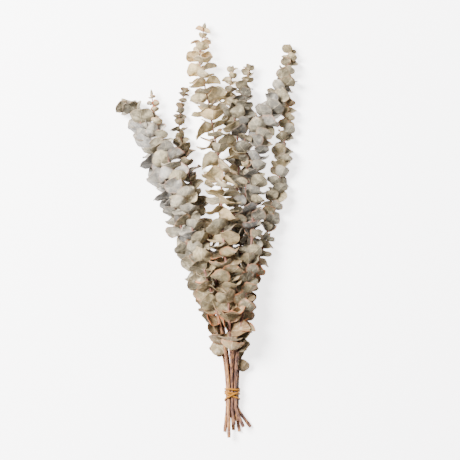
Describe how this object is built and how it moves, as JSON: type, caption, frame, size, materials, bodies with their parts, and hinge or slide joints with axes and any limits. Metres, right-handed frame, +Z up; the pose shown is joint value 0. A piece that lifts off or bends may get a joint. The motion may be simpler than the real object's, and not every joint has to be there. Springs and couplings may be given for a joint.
{
  "type": "dried eucalyptus bunch",
  "caption": "Tied bunch of dried eucalyptus branches with round stalkless leaves in pairs, lying flat, bare cut stalks held by a rubber tie.",
  "frame": {"origin": "on the table, under the middle of the bunch's bounding box", "axes": "+Y from the cut ends towards the tips, +Z up from the table the bunch lies on, +X to the right seen from above with the tips away from the viewer"},
  "size_m": [0.235, 0.547, 0.0633],
  "materials": {
    "foliage": "matt dried leaf and bark, grey-green to beige",
    "tie": "satin orange"
  },
  "bodies": {
    "root": {"branch_tall": "foliage", "branch_left": "foliage", "branch_right": "foliage", "branch_far_left": "foliage", "branch_far_right": "foliage", "branch_inner_right": "foliage", "branch_mid_right": "foliage", "branch_middle": "foliage", "branch_inner_left": "foliage", "branch_thin_left": "foliage", "rubber_tie": "tie"}
  },
  "joints": []
}
